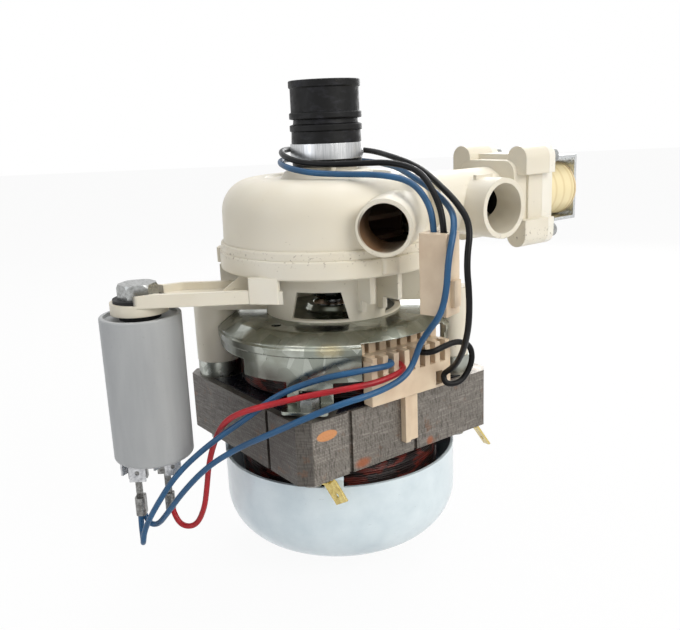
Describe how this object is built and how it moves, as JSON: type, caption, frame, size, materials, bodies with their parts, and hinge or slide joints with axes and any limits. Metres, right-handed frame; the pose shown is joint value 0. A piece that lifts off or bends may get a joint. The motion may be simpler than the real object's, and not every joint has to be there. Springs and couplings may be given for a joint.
{
  "type": "dishwasher circulation pump",
  "caption": "Vertical dishwasher wash pump: induction motor under a plastic volute, with a rubber inlet hose, a solenoid diverter valve, a hung run capacitor and its wiring.",
  "frame": {"origin": "centre of the bearing cap's foot, on the shaft axis", "axes": "+Z along the shaft from the bearing cap up to the inlet hose; -Y towards the front, where the delivery pipe opens; +X towards the diverter valve"},
  "size_m": [0.1908, 0.1219, 0.1873],
  "materials": {
    "ivory_housing": "satin moulded polypropylene",
    "cream_plastic": "satin nylon",
    "white_bell": "pale lacquered drawn steel",
    "cap_plastic": "satin pale green-grey",
    "core_steel": "laminated sheet edges",
    "galvanised": "bright galvanised pressing",
    "navy_film": "dark insulating film",
    "enamel_wire": "red-brown varnished windings",
    "copper_rotor": "cast aluminium cage",
    "shaft_steel": "ground steel",
    "sintered_bronze": "oiled sintered bronze",
    "brass": "bright brass",
    "tinned": "tinned blade",
    "zinc_steel": "zinc plated",
    "cap_can": "matte grey",
    "black_rubber": "matte black",
    "seal_black": "glossy black",
    "ceramic_seat": "lapped",
    "grey_film": "metallised film roll",
    "coil_tape": "wrapped tape",
    "yoke_white": "bright plated",
    "blue_pvc": "insulation",
    "red_pvc": "insulation",
    "black_pvc": "insulation",
    "impeller_plastic": "moulded"
  },
  "bodies": {
    "pump_body": {"bearing_cap": "cap_plastic", "black_lead": "black_pvc", "blue_jumper": "blue_pvc", "blue_lead": "blue_pvc", "bolt_washer": "black_rubber", "capacitor_blades": "tinned", "capacitor_bolt": "zinc_steel", "capacitor_can": "cap_can", "capacitor_film": "grey_film", "capacitor_lid": "cap_can", "capacitor_pad": "black_rubber", "casing_seal": "black_rubber", "coil_blades": "tinned", "coil_bobbin": "cream_plastic", "coil_winding": "coil_tape", "coil_yoke": "yoke_white", "core_film": "navy_film", "crimp_receptacles": "brass", "earth_blades": "brass", "guide_tube": "shaft_steel", "hose_clamp": "zinc_steel", "inlet_hose": "black_rubber", "lower_bell": "white_bell", "lower_bush": "sintered_bronze", "lower_casing": "ivory_housing", "motor_nuts": "zinc_steel", "motor_screws": "zinc_steel", "plug_housing": "cream_plastic", "plug_pins": "tinned", "plunger_spring": "shaft_steel", "post_feet": "galvanised", "red_jumper": "red_pvc", "seal_seat": "ceramic_seat", "stator_core": "core_steel", "stator_windings": "enamel_wire", "strap_seats": "galvanised", "terminal_block": "cream_plastic", "terminal_contacts": "tinned", "upper_bush": "sintered_bronze", "upper_shield": "galvanised", "valve_bonnet": "cream_plastic", "valve_screws": "zinc_steel", "volute_housing": "ivory_housing"},
    "rotor": {"shaft": "shaft_steel", "rotor_core": "core_steel", "rotor_cage": "copper_rotor", "lower_washer": "seal_black", "upper_washer": "seal_black", "slinger": "seal_black", "seal_head": "seal_black", "impeller": "impeller_plastic"},
    "valve_plunger": {"plunger": "shaft_steel", "valve_head": "black_rubber"}
  },
  "joints": [
    {"name": "rotor_spin", "type": "hinge", "parent": "pump_body", "child": "rotor", "pos_m": [0, 0, 0], "axis": [0, 0, 1], "continuous": true},
    {"name": "plunger_slide", "type": "slide", "parent": "pump_body", "child": "valve_plunger", "axis": [0.8104, 0.5858, 0], "range_m": [0, 0.004], "stiffness_N_per_m": 200, "springref_m": -0.002}
  ]
}
